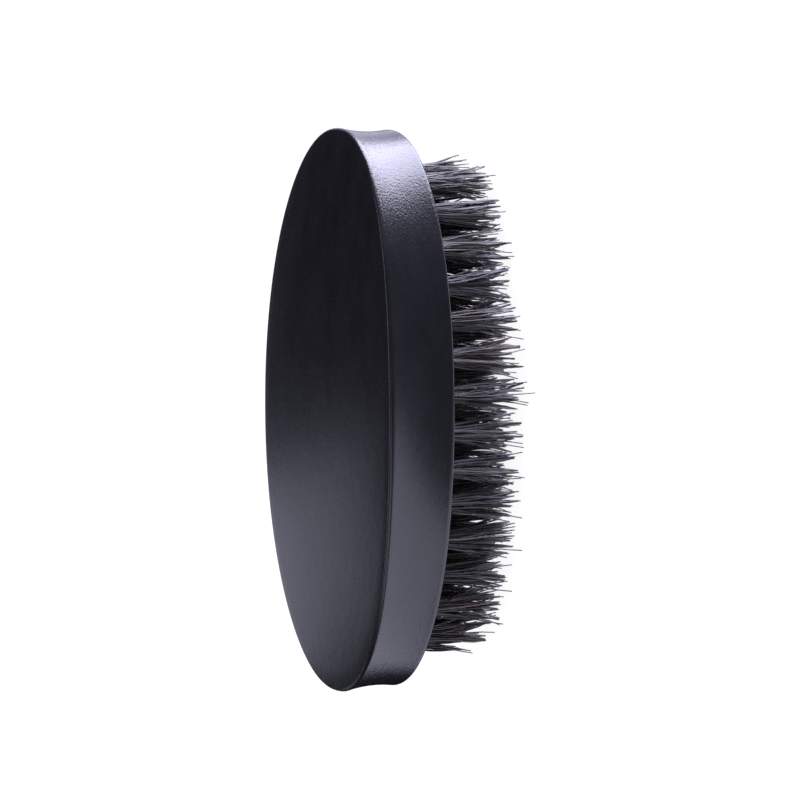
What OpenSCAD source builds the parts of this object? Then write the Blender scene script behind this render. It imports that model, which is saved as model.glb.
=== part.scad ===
// Oval palm beard brush: a wooden block with rings of bristle tufts, each folded over a wire anchor.
// The brush lies on its bristle tips at z = 0. X runs along the block, Y across it, and Z up to its back.

/* [Block] */
// Length of the block
block_l = 110; // [106:1:120]
// Width of the block
block_w = 47; // [45:0.5:50]
// Thickness of the block at the middle of its crown
block_h = 16.2; // [15:0.1:20]
// Fullness of the outline: 2 is an ellipse, and more is blunter at the ends
outline_power = 2.15; // [2:0.05:2.4]
// Drop of the back from the middle of the crown to the two ends
crown_drop_l = 3.5; // [2:0.1:4.5]
// Drop of the back from the middle of the crown to the long sides
crown_drop_w = 1.3; // [0.5:0.1:2]
// Rounding of the rim between the back and the wall
rim_r = 0.7; // [0.5:0.1:2]
// Rounding of the lip between the wall and the bristle face
lip_r = 0.5; // [0.2:0.1:1]
// How far the wall leans in from the rim to the lip
wall_lean = 0.3; // [0:0.1:1]

/* [Finger groove] */
// Depth of the groove, which spans the wall from the lip to the rim
groove_d = 0.5; // [0.3:0.1:1]

/* [Tufts] */
// Free length of the bristles, from the bristle face to the tips
bristle_l = 18.5; // [12:0.5:22]
// Diameter of the drilled tuft holes
hole_d = 3.2; // [2.8:0.1:3.6]
// Depth of the drilled tuft holes
hole_depth = 8.5; // [7:0.5:10]
// Diameter that a tuft spreads to at its tips
tip_d = 4.4; // [3.6:0.1:4.5]
// Gap between a tuft and the wall of its hole
tuft_gap = 0.05; // [0.02:0.01:0.1]

/* [Anchors] */
// Length of the flat wire anchor, across the hole and into the wood at both ends
anchor_l = 3.9; // [3.8:0.1:4.2]
// Height of the anchor wire
anchor_h = 1.6; // [1.2:0.1:2]
// Thickness of the anchor wire
anchor_t = 0.35; // [0.25:0.05:0.5]
// Height of folded bristle left between the anchor and the bottom of the hole
fold_h = 1.2; // [0.8:0.1:1.6]

/* [Tuft rings] */
// Number of tufts in the outer ring: 2 more than a multiple of 4 sets the second ring's between them
outer_n = 30; // [22:4:30]
// Distance from the outer ring's tufts to the block's ends
outer_end_margin = 9; // [8:0.5:10]
// Distance from the outer ring's tufts to the block's long sides
outer_side_margin = 6; // [5:0.1:6]
// Number of tufts in the second ring
second_n = 24; // [20:4:24]
// Number of tufts in the third ring
third_n = 20; // [16:4:20]
// Number of tufts in the row along the middle
centre_n = 9; // [5:2:9]
// Distance between the rings across the block
ring_step_w = 5.7; // [5.5:0.1:5.8]
// Distance between the rings at their ends
ring_step_l = 6.7; // [6:0.1:7]

/* [Hidden] */
$fn = 96;

// Points round the block, and steps up its lip, its wall and its rim and in over its back
outline_n = 96;
lip_steps = 2;
wall_steps = 8;
rim_steps = 4;
back_steps = 5;

// Radii of the three rings' rounded ends, outermost first
ring_end_r = [12, 8, 4];
// Clearance past a surface for a cutter that runs out through it
past = 1;
// Near-black of the lacquered wood, brown-black of the bristles and grey of the wire
wood_colour = [0.10, 0.10, 0.11];
bristle_colour = [0.07, 0.06, 0.07];
wire_colour = [0.62, 0.62, 0.64];

face_z = bristle_l;
top_z = face_z + block_h;
half_l = block_l / 2;
half_w = block_w / 2;
crown_l_r = (half_l * half_l + crown_drop_l * crown_drop_l) / (2 * crown_drop_l);
crown_w_r = (half_w * half_w + crown_drop_w * crown_drop_w) / (2 * crown_drop_w);
tuft_d = hole_d - 2 * tuft_gap;
hole_top_z = face_z + hole_depth;
anchor_z = hole_top_z - fold_h - anchor_h;

// A ring is an oval of four arcs: [half length, half width, end radius]
rings = [for (i = [0 : 2]) [
    half_l - outer_end_margin - i * ring_step_l,
    half_w - outer_side_margin - i * ring_step_w,
    ring_end_r[i]
]];

// Radius of an oval's two long side arcs
function side_r(oval) =
    let (a = oval[0], b = oval[1], r = oval[2]) (a * a + b * b - 2 * a * r) / (2 * (b - r));

// Angle from the X axis at which an oval's end arc meets its side arc
function join_angle(oval) = atan2(side_r(oval) - oval[1], oval[0] - oval[2]);

// Length of a quarter of an oval
function quarter_len(oval) =
    (oval[2] * join_angle(oval) + side_r(oval) * (90 - join_angle(oval))) * PI / 180;

// Direction of the outward normal on an oval's first quarter, a distance s along it from the X axis
function quarter_angle(oval, s) =
    let (join = join_angle(oval), end_len = oval[2] * join * PI / 180)
    s < end_len ? s / oval[2] * 180 / PI : join + (s - end_len) / side_r(oval) * 180 / PI;

// Point on an oval's first quarter whose outward normal is at angle t
function quarter_point(oval, t) =
    t < join_angle(oval)
        ? [oval[0] - oval[2], 0] + oval[2] * [cos(t), sin(t)]
        : [0, oval[1] - side_r(oval)] + side_r(oval) * [cos(t), sin(t)];

// Point a share of the way round an oval from its +X end
function oval_at(oval, share) =
    let (
        quarter = floor(4 * share),
        part = 4 * share - quarter,
        s = quarter_len(oval) * (quarter % 2 == 0 ? part : 1 - part),
        p = quarter_point(oval, quarter_angle(oval, s))
    )
    [quarter == 1 || quarter == 2 ? -p[0] : p[0], quarter >= 2 ? -p[1] : p[1]];

// n places spaced evenly round an oval, from its +X end
function ring_places(oval, n) = [for (i = [0 : n - 1]) oval_at(oval, i / n)];

// A power that keeps the sign of its base
function signed_pow(base, power) = sign(base) * pow(abs(base), power);

// Point on the block's outline at angle t round it, moved in by inset along the outline's normal
function outline_at(t, inset = 0) =
    let (
        unit = [signed_pow(cos(t), 2 / outline_power), signed_pow(sin(t), 2 / outline_power)],
        normal = [
            signed_pow(unit[0], outline_power - 1) / half_l,
            signed_pow(unit[1], outline_power - 1) / half_w
        ]
    )
    [unit[0] * half_l, unit[1] * half_w] - inset * normal / norm(normal);

// Height of the barrel-shaped back over a point: an arc across the block, swept along a longer arc
function back_z(p) =
    let (across = crown_l_r - crown_w_r + sqrt(crown_w_r * crown_w_r - p[1] * p[1]))
    top_z - crown_l_r + sqrt(across * across - p[0] * p[0]);

// How far the wall stands in from the rim at a height above the bristle face
function wall_inset(h, rim_h) =
    let (middle = (rim_h - rim_r + lip_r) / 2, half = (rim_h - rim_r - lip_r) / 2)
    wall_lean * (1 - h / rim_h) + groove_d * (1 - pow((h - middle) / half, 2));

outer_places = ring_places(rings[0], outer_n);
second_places = ring_places(rings[1], second_n);
third_places = ring_places(rings[2], third_n);
centre_half = rings[2][0] - ring_step_l;
centre_places = [for (i = [0 : centre_n - 1]) [centre_half * (2 * i / (centre_n - 1) - 1), 0]];
all_places = concat(outer_places, second_places, third_places, centre_places);

// Name of a numbered node, such as outer_tuft_07
function numbered(name, i) = str(name, i < 10 ? "0" : "", i);

// Points on the rounded lip, at angle t round the block
function lip_points(t) = [for (k = [0 : lip_steps - 1])
    let (a = 90 * k / lip_steps, p = outline_at(t, wall_lean + lip_r * (1 - sin(a))))
    [p[0], p[1], face_z + lip_r * (1 - cos(a))]];

// Points up the grooved wall
function wall_points(t) = [for (k = [0 : wall_steps - 1])
    let (
        rim_h = back_z(outline_at(t)) - face_z,
        h = lip_r + (rim_h - rim_r - lip_r) * k / wall_steps,
        p = outline_at(t, wall_inset(h, rim_h))
    )
    [p[0], p[1], face_z + h]];

// Points over the rounded rim
function rim_points(t) = [for (k = [0 : rim_steps])
    let (a = 90 * k / rim_steps, p = outline_at(t, rim_r * (1 - cos(a))))
    [p[0], p[1], back_z(p) - rim_r * (1 - sin(a))]];

// Points on the back from the rim towards the middle
function back_points(t) = [for (k = [1 : back_steps - 1])
    let (p = outline_at(t, rim_r) * (1 - k / back_steps))
    [p[0], p[1], back_z(p)]];

// Solid block without its holes: a column of points for each place round the outline, joined side to side
module blank() {
    columns = [for (i = [0 : outline_n - 1]) let (t = 360 * i / outline_n)
        concat(lip_points(t), wall_points(t), rim_points(t), back_points(t))];
    rows = len(columns[0]);
    top = outline_n * rows;
    sides = [for (i = [0 : outline_n - 1], k = [0 : rows - 2])
        let (here = i * rows + k, next = (i + 1) % outline_n * rows + k)
        [here, here + 1, next + 1, next]];
    cap = [for (i = [0 : outline_n - 1])
        [i * rows + rows - 1, top, (i + 1) % outline_n * rows + rows - 1]];
    face = [for (i = [0 : outline_n - 1]) i * rows];
    points = concat([for (column = columns) each column], [[0, 0, top_z]]);
    polyhedron(points, concat(sides, cap, [face]));
}

// Wooden block with a drilled hole for each tuft and the slots that its anchor bites into the wood
module block() {
    color(wood_colour) difference() {
        blank();
        for (place = all_places) translate([place[0], place[1], 0]) {
            translate([0, 0, face_z - past]) cylinder(d = hole_d, h = hole_depth + past);
            anchor_solid();
        }
    }
}

// One bundle of bristles: spread at the tips, straight in its hole and split by its anchor
module tuft(place) {
    color(bristle_colour) translate([place[0], place[1], 0]) difference() {
        union() {
            cylinder(d1 = tip_d, d2 = tuft_d, h = face_z);
            translate([0, 0, face_z]) cylinder(d = tuft_d, h = hole_depth);
        }
        anchor_solid();
    }
}

// Flat wire across one tuft hole, above the fold of the bristles
module anchor_solid() {
    translate([-anchor_l / 2, -anchor_t / 2, anchor_z]) cube([anchor_l, anchor_t, anchor_h]);
}

// The anchors at a list of places
module anchors(places) {
    color(wire_colour) for (place = places) translate([place[0], place[1], 0]) anchor_solid();
}

// The tufts at a list of places
module tufts(places) {
    for (place = places) tuft(place);
}

block();
for (i = [1 : outer_n])
    tuft(outer_places[i - 1]);
for (i = [1 : second_n])
    tuft(second_places[i - 1]);
tufts(third_places);  // third_ring_tufts
tufts(centre_places);  // centre_row_tufts
anchors(outer_places);  // outer_ring_anchors
anchors(second_places);  // second_ring_anchors
anchors(concat(third_places, centre_places));  // inner_anchors
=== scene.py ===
import math

import bmesh
import bpy
import numpy as np
from mathutils import Matrix, Vector


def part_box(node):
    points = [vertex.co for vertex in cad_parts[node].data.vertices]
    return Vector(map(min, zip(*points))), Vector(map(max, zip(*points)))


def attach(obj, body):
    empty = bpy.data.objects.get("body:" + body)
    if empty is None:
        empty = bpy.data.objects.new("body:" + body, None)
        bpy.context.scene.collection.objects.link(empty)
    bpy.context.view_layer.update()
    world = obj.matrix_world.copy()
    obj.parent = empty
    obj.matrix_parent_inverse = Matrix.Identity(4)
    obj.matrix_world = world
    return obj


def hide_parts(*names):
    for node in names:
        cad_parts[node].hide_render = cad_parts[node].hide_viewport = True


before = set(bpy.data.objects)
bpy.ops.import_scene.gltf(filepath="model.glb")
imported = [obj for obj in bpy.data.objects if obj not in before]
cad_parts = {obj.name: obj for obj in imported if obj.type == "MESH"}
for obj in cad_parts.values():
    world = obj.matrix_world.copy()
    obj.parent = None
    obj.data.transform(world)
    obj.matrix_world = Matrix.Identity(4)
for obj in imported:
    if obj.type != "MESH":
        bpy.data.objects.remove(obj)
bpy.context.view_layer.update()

BODY = "root"
MM = 0.001

# Block, as part.scad shapes it. The four outer sizes come from the block's box in model.glb.
block_low, block_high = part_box("block")
HALF_L, HALF_W = block_high.x, block_high.y
FACE_Z, TOP_Z = block_low.z, block_high.z
OUTLINE_POWER = 2.15
CROWN_DROP_L, CROWN_DROP_W = 3.5 * MM, 1.3 * MM
RIM_R, LIP_R = 0.7 * MM, 0.5 * MM
WALL_LEAN = 0.3 * MM
GROOVE_D = 0.5 * MM
HOLE_R, HOLE_DEPTH = 1.6 * MM, 8.5 * MM
HOLE_CHAMFER = 0.12 * MM

# Steps round the block, up its lip, wall and rim, in over its back, and round each hole
AROUND, LIP_STEPS, WALL_STEPS, RIM_STEPS, BACK_STEPS, HOLE_STEPS = 240, 5, 22, 9, 14, 32

# Bristles: their radius and where they start to taper, how many are folded over each anchor, how far a
# tuft spreads at its root and its tips, and how many clumps it gathers into
BRISTLE_R, TIP_R = 0.165 * MM, 0.13 * MM
TAPER_START = 0.8
FILAMENTS, INNER_FILAMENTS = 48, 46
ROOT_SPREAD, TIP_SPREAD, INNER_SPREAD = 1.35 * MM, 4.2 * MM, 5.4 * MM
CLUMPS = 22
SEED = 7

# Their free part: steps along it, how late it spreads and gathers into clumps, and how fully at least
LEG_STEPS = 7
FLARE_POWER, GATHER_POWER = 1.3, 1.8
LEAST_GATHER = 0.8

# How far the longest of its waves swings, and how many waves add up
WAVE, WAVE_COUNT = 0.28 * MM, 3

# How far they are off at random: in aim, in their clump's place, in length and at their second root
AIM_JITTER, CLUMP_JITTER, LENGTH_JITTER, ROOT_JITTER = 0.35 * MM, 0.4 * MM, 0.45 * MM, 0.12 * MM

# The share that strays from its clump, and how far
STRAY_SHARE, STRAY_SPREAD = 0.07, 1.0 * MM

# How much shorter a clump is: at random between two values, and more towards the edge of its tuft
LEAST_DROP, MOST_DROP, EDGE_DROP = 0.3 * MM, 1.7 * MM, 0.9 * MM

# Fold over the anchor, point by point: shares of its half width and of its depth, and its straight ends
FOLD_ACROSS = (1, 0.75, 0, -0.75, -1)
FOLD_ROUND = (1, 1.25, 1, 1.25, 1)
FOLD_ENDS = (3.2 * MM, 0, 0, 0, 3.2 * MM)
FOLD_STEPS = len(FOLD_ACROSS)

# Depth of the innermost fold from the bottom of the hole, how much less the outermost has, and the
# share of a tuft's radius that its anchor keeps free of roots
FOLD_DEPTH, FOLD_NEST = 0.9 * MM, 0.6 * MM
ANCHOR_GAP = 0.15

# Points this near the top of a tuft are on its round end
NEAR = 0.01 * MM

# Camera: it looks at the brush from its side and a little above, with its +X end up
CAMERA_ELEVATION, CAMERA_TILT = math.radians(32.8), math.radians(4)
CAMERA_DISTANCE = 0.70
CAMERA_LENS_MM, CAMERA_SENSOR_MM = 160.6, 36
CAMERA_NEAR, CAMERA_FAR = 0.01, 20
AIM_HEIGHT, AIM_RIGHT, AIM_UP = 22 * MM, 4.9 * MM, 1.8 * MM

# Brightness of the white surroundings and of the glowing floor, half the floor's side, and its paint
WHITE = 1.05
FLOOR_GLOW, FLOOR_HALF = 0.9, 2
FLOOR_GREY, FLOOR_ROUGHNESS = 0.15, 0.9

# Lamps: the power that gives one of 1 m2 a radiance of 1, their colour, how far they are from the brush
AREA_LAMP_POWER = 4
LAMP_COLOUR = (0.82, 0.82, 1.06)
LAMP_DISTANCE = 0.55

# Each lamp's name, direction from the brush, size and radiance
PANELS = [
    ("key", (0.83, -0.11, -0.22), (0.43, 0.75), 13),
    ("end", (0.69, 0.58, -0.42), (0.45, 0.60), 1.5),
    ("fill", (-0.655, -0.42, -0.62), (0.72, 0.50), 1.77),
    ("behind", (-0.245, 0.90, 0.295), (0.12, 0.52), 1),
    ("far side", (0.05, 0.99, 0), (0.40, 0.30), 0.3),
    ("far corner", (-0.70, 0.57, 0.42), (0.25, 0.35), 0.6),
    ("near corner", (0.66, -0.68, 0.32), (0.25, 0.30), 0.4),
    ("overhead", (0, 0.10, 0.99), (0.60, 0.08), 3),
    ("front", (-0.45, -0.70, 0.55), (0.40, 0.50), 1.1),
    ("below", (0, 0, -1), (0.50, 0.40), 1.2),
]

# Lacquer: the sizes of its mottle, pores and waves, how deep they go, and its roughness
MOTTLE, PORES, WAVES = 4 * MM, 0.42 * MM, 1.8 * MM
PORE_DEPTH, WAVE_DEPTH = 0.07 * MM, 0.02 * MM
LACQUER_ROUGHNESS = (0.23, 0.28)

# How strongly the pores show along the grain and at its ends, and the slopes where that changes
GRAIN_STRENGTH, GRAIN_SLOPES = (0.1, 1), (0.15, 0.4)

# Bristle: the size of its glossy stretches, its roughness at the first and last tint, and how it varies
GLOSS = 1.5 * MM
BRISTLE_ROUGHNESS, GLOSS_RANGE = (0.50, 0.24), (0.65, 1.35)

# Wire: the size of its drawing lines, how much longer than wide they are, their depth, its roughness
LINES, LINE_STRETCH, LINE_DEPTH = 0.05 * MM, 30, 0.004 * MM
WIRE_ROUGHNESS = (0.25, 0.45)

# Colours, each at its place along a noise, along a bristle or along the bristles' tints
LACQUER_COLOURS = [(0.3, (0.0042, 0.0042, 0.0058)), (0.7, (0.0066, 0.0064, 0.0088))]
BRISTLE_COLOURS = [
    (0, (0.030, 0.030, 0.034)),
    (0.35, (0.046, 0.041, 0.054)),
    (0.6, (0.044, 0.047, 0.043)),
    (0.85, (0.070, 0.053, 0.060)),
    (1, (0.14, 0.095, 0.08)),
]
BRISTLE_FADE = [(0.6, (0.5, 0.5, 0.5)), (1, (0.8, 0.8, 0.8))]
WIRE_COLOURS = [(0.3, (0.50, 0.50, 0.52)), (0.7, (0.66, 0.66, 0.68))]


# ---------------------------------------------------------------- camera, lights and floor

def add_camera():
    away = Vector((
        math.sin(CAMERA_TILT),
        -math.cos(CAMERA_TILT) * math.cos(CAMERA_ELEVATION),
        math.cos(CAMERA_TILT) * math.sin(CAMERA_ELEVATION),
    ))
    up = (Vector((1, 0, 0)) - away.x * away).normalized()
    right = up.cross(away)
    aim = Vector((0, 0, AIM_HEIGHT)) + AIM_RIGHT * right + AIM_UP * up
    data = bpy.data.cameras.new("camera")
    data.lens = CAMERA_LENS_MM
    data.sensor_width = CAMERA_SENSOR_MM
    data.clip_start, data.clip_end = CAMERA_NEAR, CAMERA_FAR
    camera = bpy.data.objects.new("camera", data)
    turn = Matrix((right, up, away)).transposed().to_4x4()
    camera.matrix_world = Matrix.Translation(aim + CAMERA_DISTANCE * away) @ turn
    bpy.context.scene.collection.objects.link(camera)
    bpy.context.scene.camera = camera


def add_panel(name, direction, size, radiance):
    """A soft rectangular lamp that faces the brush from a direction, as bright as radiance."""
    data = bpy.data.lights.new(name, "AREA")
    data.shape = "RECTANGLE"
    data.size, data.size_y = size
    data.energy = AREA_LAMP_POWER * size[0] * size[1] * radiance
    data.color = LAMP_COLOUR
    lamp = bpy.data.objects.new(name, data)
    lamp.location = Vector((0, 0, AIM_HEIGHT)) + LAMP_DISTANCE * Vector(direction).normalized()
    lamp.rotation_euler = Vector(direction).to_track_quat("Z", "Y").to_euler()
    lamp.visible_camera = False
    bpy.context.scene.collection.objects.link(lamp)


def add_world():
    world = bpy.data.worlds.new("studio")
    bpy.context.scene.world = world
    world.use_nodes = True
    background = world.node_tree.nodes["Background"]
    background.inputs["Color"].default_value = (1, 1, 1, 1)
    background.inputs["Strength"].default_value = WHITE
    world.cycles_visibility.glossy = False
    bpy.context.scene.view_settings.view_transform = "Standard"


def add_floor():
    """A light table: its top glows, and the lamps below it shine up through it."""
    mesh = bpy.data.meshes.new("floor")
    corners = [(x * FLOOR_HALF, y * FLOOR_HALF, 0) for x, y in ((-1, -1), (1, -1), (1, 1), (-1, 1))]
    mesh.from_pydata(corners, [], [(0, 1, 2, 3)])
    floor = bpy.data.objects.new("floor", mesh)
    paint = bpy.data.materials.new("floor_paint")
    paint.use_nodes = True
    shader = paint.node_tree.nodes["Principled BSDF"]
    shader.inputs["Base Color"].default_value = (FLOOR_GREY, FLOOR_GREY, FLOOR_GREY, 1)
    shader.inputs["Roughness"].default_value = FLOOR_ROUGHNESS
    shader.inputs["Specular IOR Level"].default_value = 0
    shader.inputs["Emission Color"].default_value = (1, 1, 1, 1)
    shader.inputs["Emission Strength"].default_value = FLOOR_GLOW
    mesh.materials.append(paint)
    floor.visible_glossy = False
    floor.visible_shadow = False
    bpy.context.scene.collection.objects.link(floor)


# ---------------------------------------------------------------- materials

class Nodes:
    """A material being built, with short calls to add and join its nodes."""

    def __init__(self, name):
        self.material = bpy.data.materials.new(name)
        self.material.use_nodes = True
        self.tree = self.material.node_tree
        self.shader = self.tree.nodes["Principled BSDF"]
        coordinates = self.add("ShaderNodeTexCoord")
        self.places, self.normals = coordinates.outputs["Object"], coordinates.outputs["Normal"]

    def add(self, kind, **settings):
        node = self.tree.nodes.new(kind)
        for key, value in settings.items():
            setattr(node, key, value)
        return node

    def join(self, output, socket):
        self.tree.links.new(output, socket)

    def noise(self, feature, detail=2, stretch=(1, 1, 1)):
        """Noise whose features are about feature metres, drawn out along an axis by its stretch."""
        mapping = self.add("ShaderNodeMapping")
        mapping.inputs["Scale"].default_value = [1 / (feature * s) for s in stretch]
        self.join(self.places, mapping.inputs["Vector"])
        noise = self.add("ShaderNodeTexNoise")
        noise.inputs["Scale"].default_value = 1
        noise.inputs["Detail"].default_value = detail
        self.join(mapping.outputs["Vector"], noise.inputs["Vector"])
        return noise.outputs["Fac"]

    def spread(self, value, low, high, start=0.3, end=0.7):
        """value's range from start to end, mapped to low to high."""
        node = self.add("ShaderNodeMapRange")
        for name, number in zip(("From Min", "From Max", "To Min", "To Max"), (start, end, low, high)):
            node.inputs[name].default_value = number
        self.join(value, node.inputs["Value"])
        return node.outputs["Result"]

    def ramp(self, value, stops):
        """Colours at places along value."""
        node = self.add("ShaderNodeValToRGB")
        points = node.color_ramp.elements
        while len(points) < len(stops):
            points.new(0.5)
        for point, (place, colour) in zip(points, stops):
            point.position, point.color = place, (*colour, 1)
        self.join(value, node.inputs["Fac"])
        return node.outputs["Color"]

    def end_grain(self, low, high, start, end):
        """low where the grain (along X) runs in the surface, high where it meets it, slopes between."""
        facing = self.add("ShaderNodeSeparateXYZ")
        self.join(self.normals, facing.inputs["Vector"])
        along = self.add("ShaderNodeMath", operation="ABSOLUTE")
        self.join(facing.outputs["X"], along.inputs[0])
        return self.spread(along.outputs["Value"], low, high, start, end)

    def bump(self, height, depth, strength=None, below=None):
        """A normal roughened by height, whose full range is depth metres, over an earlier bump."""
        node = self.add("ShaderNodeBump")
        node.inputs["Distance"].default_value = depth
        if strength is not None:
            self.join(strength, node.inputs["Strength"])
        self.join(height, node.inputs["Height"])
        if below is not None:
            self.join(below, node.inputs["Normal"])
        return node.outputs["Normal"]


def lacquer_material():
    paint = Nodes("black_satin_lacquer")
    mottle = paint.noise(MOTTLE, detail=4, stretch=(2, 1, 1))
    pores = paint.noise(PORES, detail=3)
    waves = paint.noise(WAVES, stretch=(1.5, 1, 1))
    paint.join(paint.ramp(mottle, LACQUER_COLOURS), paint.shader.inputs["Base Color"])
    paint.join(paint.spread(pores, *LACQUER_ROUGHNESS), paint.shader.inputs["Roughness"])
    soft = paint.bump(waves, WAVE_DEPTH)
    grain = paint.bump(pores, PORE_DEPTH, paint.end_grain(*GRAIN_STRENGTH, *GRAIN_SLOPES), soft)
    paint.join(grain, paint.shader.inputs["Normal"])
    return paint.material


def bristle_material():
    hair = Nodes("boar_bristle")
    along = hair.add("ShaderNodeAttribute", attribute_name="along").outputs["Fac"]
    tint = hair.add("ShaderNodeAttribute", attribute_name="tint").outputs["Fac"]
    mix = hair.add("ShaderNodeMix", data_type="RGBA", blend_type="MULTIPLY")
    mix.inputs["Factor"].default_value = 1
    hair.join(hair.ramp(along, BRISTLE_FADE), mix.inputs["A"])
    hair.join(hair.ramp(tint, BRISTLE_COLOURS), mix.inputs["B"])
    hair.join(mix.outputs["Result"], hair.shader.inputs["Base Color"])
    gloss = hair.noise(GLOSS, detail=1, stretch=(1, 1, 3))
    rough = hair.add("ShaderNodeMath", operation="MULTIPLY")
    hair.join(hair.spread(gloss, *GLOSS_RANGE), rough.inputs[0])
    hair.join(hair.spread(tint, *BRISTLE_ROUGHNESS, 0, 1), rough.inputs[1])
    hair.join(rough.outputs["Value"], hair.shader.inputs["Roughness"])
    return hair.material


def wire_material():
    wire = Nodes("drawn_steel_wire")
    lines = wire.noise(LINES, detail=3, stretch=(LINE_STRETCH, 1, 1))
    wire.join(wire.ramp(lines, WIRE_COLOURS), wire.shader.inputs["Base Color"])
    wire.join(wire.spread(lines, *WIRE_ROUGHNESS), wire.shader.inputs["Roughness"])
    wire.join(wire.bump(lines, LINE_DEPTH), wire.shader.inputs["Normal"])
    wire.shader.inputs["Metallic"].default_value = 1
    return wire.material


# ---------------------------------------------------------------- block

def signed_pow(base, power):
    return math.copysign(abs(base) ** power, base)


def outline_at(turn, inset=0.0):
    """Point on the block's outline at an angle round it, moved in along the outline's normal."""
    ux = signed_pow(math.cos(turn), 2 / OUTLINE_POWER)
    uy = signed_pow(math.sin(turn), 2 / OUTLINE_POWER)
    normal = Vector((signed_pow(ux, OUTLINE_POWER - 1) / HALF_L,
                     signed_pow(uy, OUTLINE_POWER - 1) / HALF_W)).normalized()
    return Vector((ux * HALF_L, uy * HALF_W)) - inset * normal


def arc_radius(half, drop):
    return (half * half + drop * drop) / (2 * drop)


def back_z(p):
    """Height of the barrel-shaped back over a point."""
    along_r, across_r = arc_radius(HALF_L, CROWN_DROP_L), arc_radius(HALF_W, CROWN_DROP_W)
    across = along_r - across_r + math.sqrt(across_r ** 2 - p.y ** 2)
    return TOP_Z - along_r + math.sqrt(across ** 2 - p.x ** 2)


def wall_inset(h, rim_h):
    """How far the wall stands in at a height: the groove spans it from the lip to the rim."""
    middle, half = (rim_h - RIM_R + LIP_R) / 2, (rim_h - RIM_R - LIP_R) / 2
    return WALL_LEAN * (1 - h / rim_h) + GROOVE_D * (1 - ((h - middle) / half) ** 2)


def block_column(turn):
    """Points up the block at an angle round it: lip, grooved wall, rim, then in over the back."""
    quarter = math.pi / 2
    points = []
    for k in range(LIP_STEPS):
        a = quarter * k / LIP_STEPS
        points.append((*outline_at(turn, WALL_LEAN + LIP_R * (1 - math.sin(a))),
                       FACE_Z + LIP_R * (1 - math.cos(a))))
    rim_h = back_z(outline_at(turn)) - FACE_Z
    for k in range(WALL_STEPS):
        h = LIP_R + (rim_h - RIM_R - LIP_R) * k / WALL_STEPS
        points.append((*outline_at(turn, wall_inset(h, rim_h)), FACE_Z + h))
    for k in range(RIM_STEPS + 1):
        a = quarter * k / RIM_STEPS
        p = outline_at(turn, RIM_R * (1 - math.cos(a)))
        points.append((*p, back_z(p) - RIM_R * (1 - math.sin(a))))
    for k in range(1, BACK_STEPS):
        p = outline_at(turn, RIM_R) * (1 - k / BACK_STEPS)
        points.append((*p, back_z(p)))
    return points


def ring_of(bm, centre, radius, z):
    return [bm.verts.new((centre.x + radius * math.cos(a), centre.y + radius * math.sin(a), z))
            for a in (math.tau * i / HOLE_STEPS for i in range(HOLE_STEPS))]


def bridge(bm, low, high):
    """Quads between two closed rings of the same count."""
    n = len(low)
    for i in range(n):
        bm.faces.new((low[i], low[(i + 1) % n], high[(i + 1) % n], high[i])).smooth = True


def drill(bm, place):
    """The wall and bottom of a blind hole with a chamfered mouth. Gives the ring round its mouth."""
    rim = ring_of(bm, place, HOLE_R + HOLE_CHAMFER, FACE_Z)
    mouth = ring_of(bm, place, HOLE_R, FACE_Z + HOLE_CHAMFER)
    bottom = ring_of(bm, place, HOLE_R, FACE_Z + HOLE_DEPTH)
    bridge(bm, rim, mouth)
    bridge(bm, mouth, bottom)
    bm.faces.new(bottom)
    return rim


def block_piece(places):
    """Closed shell of the block: columns of points joined side to side, and a face full of holes."""
    bm = bmesh.new()
    columns = [[bm.verts.new(p) for p in block_column(math.tau * i / AROUND)] for i in range(AROUND)]
    rows = list(zip(*columns))
    for low, high in zip(rows, rows[1:]):
        bridge(bm, low, high)
    top = bm.verts.new((0, 0, TOP_Z))
    for i in range(AROUND):
        bm.faces.new((rows[-1][i], rows[-1][(i + 1) % AROUND], top)).smooth = True

    rims = [rows[0]] + [drill(bm, place) for place in places]
    edges = [bm.edges.get((rim[i - 1], rim[i])) for rim in rims for i in range(len(rim))]
    bmesh.ops.triangle_fill(bm, use_beauty=True, edges=edges, normal=(0, 0, -1))
    bmesh.ops.recalc_face_normals(bm, faces=bm.faces)

    mesh = bpy.data.meshes.new("block_lacquered")
    bm.to_mesh(mesh)
    bm.free()
    mesh.materials.append(lacquer_material())
    return bpy.data.objects.new("block_lacquered", mesh)


# ---------------------------------------------------------------- bristles

def tuft_places(node):
    """The middle of each tuft in a CAD node, found from the round ends in their holes."""
    points = [v.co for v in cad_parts[node].data.vertices]
    top = max(p.z for p in points)
    rims = []
    for p in (point.xy for point in points if point.z > top - NEAR):
        rim = next((r for r in rims if (r[0] - p).length < 2 * HOLE_R), None)
        if rim is None:
            rims.append([p])
        else:
            rim.append(p)
    return [sum(rim, Vector((0, 0))) / len(rim) for rim in rims]


def in_disc(rng, n, radius):
    """n places spread evenly over a disc."""
    r, turn = radius * np.sqrt(rng.random(n)), math.tau * rng.random(n)
    return np.stack([r * np.cos(turn), r * np.sin(turn)], 1)


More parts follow.
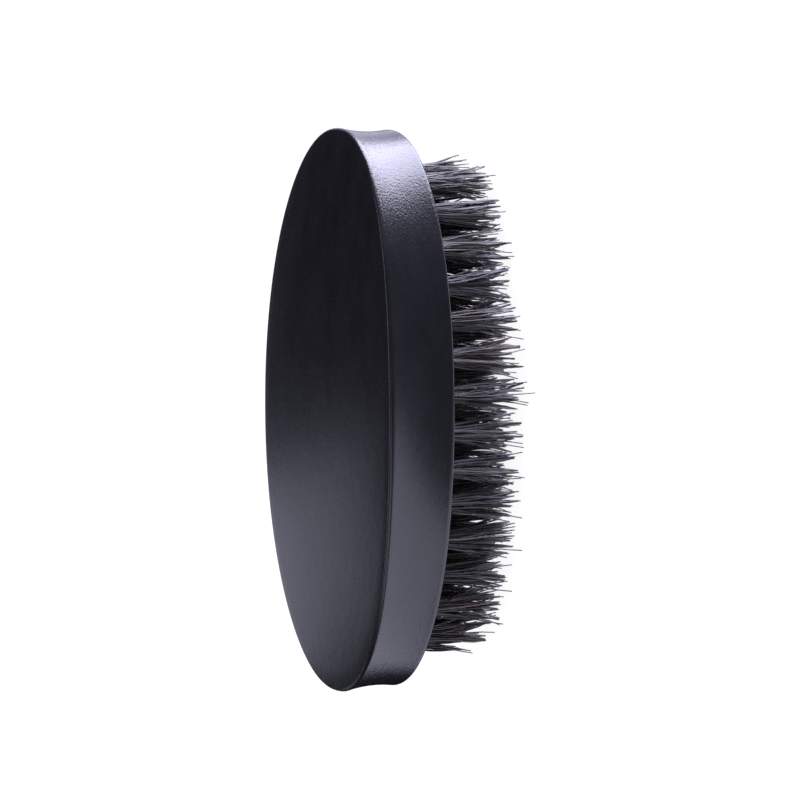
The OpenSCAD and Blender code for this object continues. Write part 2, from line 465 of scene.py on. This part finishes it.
def leg_paths(rng, roots, spread, clumps, clump_drops):
    """Free parts of bristles, from the block's face to their tips: an array of bristle, step, axis."""
    n = len(roots)
    share = np.linspace(0, 1, LEG_STEPS + 1)[None, :, None]
    fan = roots * (spread / ROOT_SPREAD) + rng.normal(0, AIM_JITTER, (n, 2))
    own = np.argmin(((fan[:, None] - clumps[None]) ** 2).sum(2), 1)
    stray = rng.random(n) < STRAY_SHARE
    fan[stray] += rng.normal(0, STRAY_SPREAD, (stray.sum(), 2))
    pull = np.where(stray, 0, rng.uniform(LEAST_GATHER, 1, n))[:, None, None]
    gather = (clumps[own] - fan)[:, None] * pull * share ** GATHER_POWER
    bow = sum(rng.normal(0, WAVE / k, (n, 2))[:, None] * np.sin(math.pi * k * share)
              for k in range(1, WAVE_COUNT + 1))
    flare = share ** FLARE_POWER
    flat = roots[:, None] * (1 - flare) + fan[:, None] * flare + gather + bow
    drop = np.where(stray, 0, clump_drops[own]) + np.abs(rng.normal(0, LENGTH_JITTER, n))
    z = FACE_Z - (FACE_Z - drop)[:, None, None] * share
    return np.concatenate([flat, z], 2)


def fold_paths(near, far):
    """Folded middles of bristles, from their first roots over the anchor to their second ones."""
    depth = FOLD_DEPTH - FOLD_NEST * near[:, 1:] / ROOT_SPREAD
    along = np.linspace(near[:, 0], far[:, 0], FOLD_STEPS, axis=1)
    across = near[:, 1:] * FOLD_ACROSS
    height = FACE_Z + HOLE_DEPTH - depth * FOLD_ROUND - FOLD_ENDS
    return np.stack([along, across, height], 2)


def tuft_paths(rng, place, filaments, spread):
    """Whole bristles of one tuft, each folded over the anchor: tip, face, fold, face, tip."""
    near = in_disc(rng, filaments, ROOT_SPREAD)
    near[:, 1] = np.abs(near[:, 1]) * (1 - ANCHOR_GAP) + ANCHOR_GAP * ROOT_SPREAD
    far = near * (1, -1) + rng.normal(0, ROOT_JITTER, near.shape)
    clumps = in_disc(rng, CLUMPS, spread)
    reach = np.linalg.norm(clumps, axis=1) / spread
    drops = EDGE_DROP * reach ** 2 + rng.uniform(LEAST_DROP, MOST_DROP, CLUMPS)
    clumps += rng.normal(0, CLUMP_JITTER, clumps.shape)
    first, second = (leg_paths(rng, roots, spread, clumps, drops) for roots in (near, far))
    paths = np.concatenate([first[:, ::-1], fold_paths(near, far), second], 1)
    paths[..., :2] += np.array(place)
    return paths


def tubes(paths, radii):
    """Three-sided tubes along paths, as vertices and faces."""
    count, steps = paths.shape[:2]
    along = np.gradient(paths, axis=1)
    along /= np.linalg.norm(along, axis=2, keepdims=True)
    side = np.array([1.0, 0, 0]) - along[..., :1] * along
    side /= np.linalg.norm(side, axis=2, keepdims=True)
    other = np.cross(along, side)
    turns = math.tau * np.arange(3) / 3
    ring = side[:, :, None] * np.cos(turns)[:, None] + other[:, :, None] * np.sin(turns)[:, None]
    points = (paths[:, :, None] + ring * radii[None, :, None, None]).reshape(-1, 3)
    base = 3 * (steps * np.arange(count)[:, None, None] + np.arange(steps - 1)[None, :, None])
    i, j = np.arange(3), (np.arange(3) + 1) % 3
    quads = np.stack([base + i, base + j, base + 3 + j, base + 3 + i], 3).reshape(-1, 4)
    first = 3 * steps * np.arange(count)[:, None]
    caps = np.concatenate([first + [2, 1, 0], first + 3 * (steps - 1) + [0, 1, 2]])
    return points, quads.tolist() + caps.tolist()


def bristle_piece(name, places, filaments, spread, seed, material):
    rng = np.random.default_rng(seed)
    paths = np.concatenate([tuft_paths(rng, place, filaments, spread) for place in places])
    share = np.linspace(0, 1, LEG_STEPS + 1)
    taper = np.interp(share, [0, TAPER_START, 1], [BRISTLE_R, BRISTLE_R, TIP_R])
    radii = np.concatenate([taper[::-1], np.full(FOLD_STEPS, BRISTLE_R), taper])
    points, faces = tubes(paths, radii)
    mesh = bpy.data.meshes.new(name)
    mesh.from_pydata(points.tolist(), [], faces)
    mesh.polygons.foreach_set("use_smooth", np.ones(len(mesh.polygons), bool))
    steps = np.concatenate([share[::-1], np.zeros(FOLD_STEPS), share])
    along = np.tile(np.repeat(steps, 3), len(paths))
    tint = np.repeat(rng.random(len(paths)), 3 * len(steps))
    for key, values in (("along", along), ("tint", tint)):
        mesh.attributes.new(key, "FLOAT", "POINT").data.foreach_set("value", values.astype(np.float32))
    mesh.materials.append(material)
    return bpy.data.objects.new(name, mesh)


# ---------------------------------------------------------------- the brush

def place_piece(piece, slot, *nodes):
    bpy.context.scene.collection.objects.link(piece)
    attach(piece, BODY)
    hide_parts(*nodes)


tuft_nodes = sorted(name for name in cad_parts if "tuft" in name)
places = {name: tuft_places(name) for name in tuft_nodes}

place_piece(block_piece([p for name in tuft_nodes for p in places[name]]), "lacquered_wood", "block")

hair = bristle_material()
for number, name in enumerate(tuft_nodes):
    inner = "outer" not in name
    count, spread = (INNER_FILAMENTS, INNER_SPREAD) if inner else (FILAMENTS, TIP_SPREAD)
    piece = bristle_piece(name + "_bristles", places[name], count, spread, SEED + number, hair)
    place_piece(piece, "bristle", name)

wire = wire_material()
for name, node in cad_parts.items():
    if "anchors" in name:
        for slot in node.material_slots:
            slot.material = wire

add_camera()
add_world()
add_floor()
for panel in PANELS:
    add_panel(*panel)
